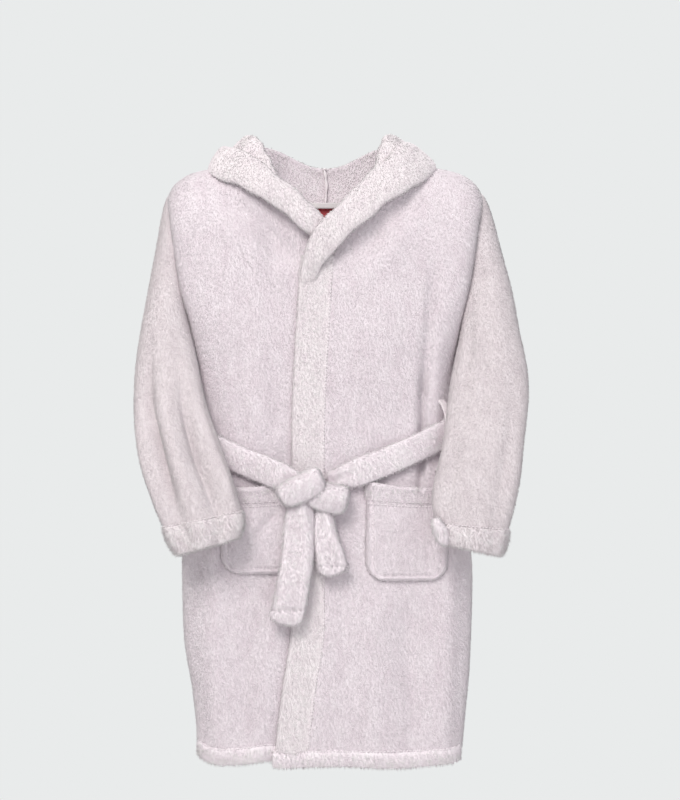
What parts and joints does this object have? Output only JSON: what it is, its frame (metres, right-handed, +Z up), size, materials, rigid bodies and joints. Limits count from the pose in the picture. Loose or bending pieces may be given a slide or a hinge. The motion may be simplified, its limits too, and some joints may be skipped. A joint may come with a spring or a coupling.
{
  "type": "bathrobe",
  "caption": "Child's hooded fleece bathrobe hanging open-sleeved, fronts crossed and tied with a belt, with patch pockets and the hood thrown back.",
  "frame": {"origin": "middle of the hanging loop at the back neck", "axes": "+Z up, -Y out of the front of the robe, +X to the wearer's left"},
  "size_m": [0.5135, 0.2137, 0.8215],
  "materials": {
    "fleece": "pale pink coral fleece, long soft pile",
    "hem_fleece": "the same fleece folded double and stitched",
    "hood_fleece": "the same fleece on the hood, brighter on its folds",
    "belt_fleece": "the same fleece sewn into a flat belt",
    "tape": "white cotton tape, plain weave",
    "label": "plain dull red woven satin label without lettering"
  },
  "bodies": {
    "robe": {"back_panel": "fleece", "front_panel_left": "fleece", "front_panel_right": "fleece", "front_band_left": "hem_fleece", "front_band_right": "hem_fleece", "hem_back": "hem_fleece", "hem_left": "hem_fleece", "hem_right": "hem_fleece", "sleeve_head_left": "fleece", "sleeve_head_right": "fleece", "hood_stand": "hood_fleece", "hood_roll_left": "hood_fleece", "hood_roll_right": "hood_fleece", "belt_back": "belt_fleece", "belt_run_left": "belt_fleece", "belt_run_right": "belt_fleece", "belt_knot": "belt_fleece", "belt_knot_wrap": "belt_fleece", "belt_loop_left": "belt_fleece", "belt_loop_right": "belt_fleece", "pocket_left": "fleece", "pocket_right": "fleece", "pocket_hem_left": "hem_fleece", "pocket_hem_right": "hem_fleece", "neck_tape": "tape", "neck_label": "label", "hanging_loop": "tape"},
    "hood": {"hood_shell_left": "hood_fleece", "hood_shell_right": "hood_fleece", "hood_edge_left": "hood_fleece", "hood_edge_right": "hood_fleece"},
    "sleeve_left": {"sleeve_left": "fleece", "cuff_left": "hem_fleece"},
    "sleeve_right": {"sleeve_right": "fleece", "cuff_right": "hem_fleece"},
    "tail_long": {"belt_tail_long": "belt_fleece"},
    "tail_short": {"belt_tail_short": "belt_fleece"}
  },
  "joints": [
    {"name": "sleeve_left_lift", "type": "hinge", "parent": "robe", "child": "sleeve_left", "pos_m": [0.174, 0, -0.009], "axis": [0, -1, 0], "range_deg": [0, 60]},
    {"name": "sleeve_right_lift", "type": "hinge", "parent": "robe", "child": "sleeve_right", "pos_m": [-0.174, 0, -0.009], "axis": [0, 1, 0], "range_deg": [0, 60]},
    {"name": "hood_raise", "type": "hinge", "parent": "robe", "child": "hood", "pos_m": [0, 0.05, 0.044], "axis": [1, 0, 0], "range_deg": [0, 155]},
    {"name": "tail_long_swing", "type": "hinge", "parent": "robe", "child": "tail_long", "pos_m": [-0.033, -0.066, -0.406], "axis": [-1, 0, 0], "range_deg": [0, 70]},
    {"name": "tail_short_swing", "type": "hinge", "parent": "robe", "child": "tail_short", "pos_m": [-0.001, -0.066, -0.406], "axis": [-1, 0, 0], "range_deg": [0, 70]}
  ]
}
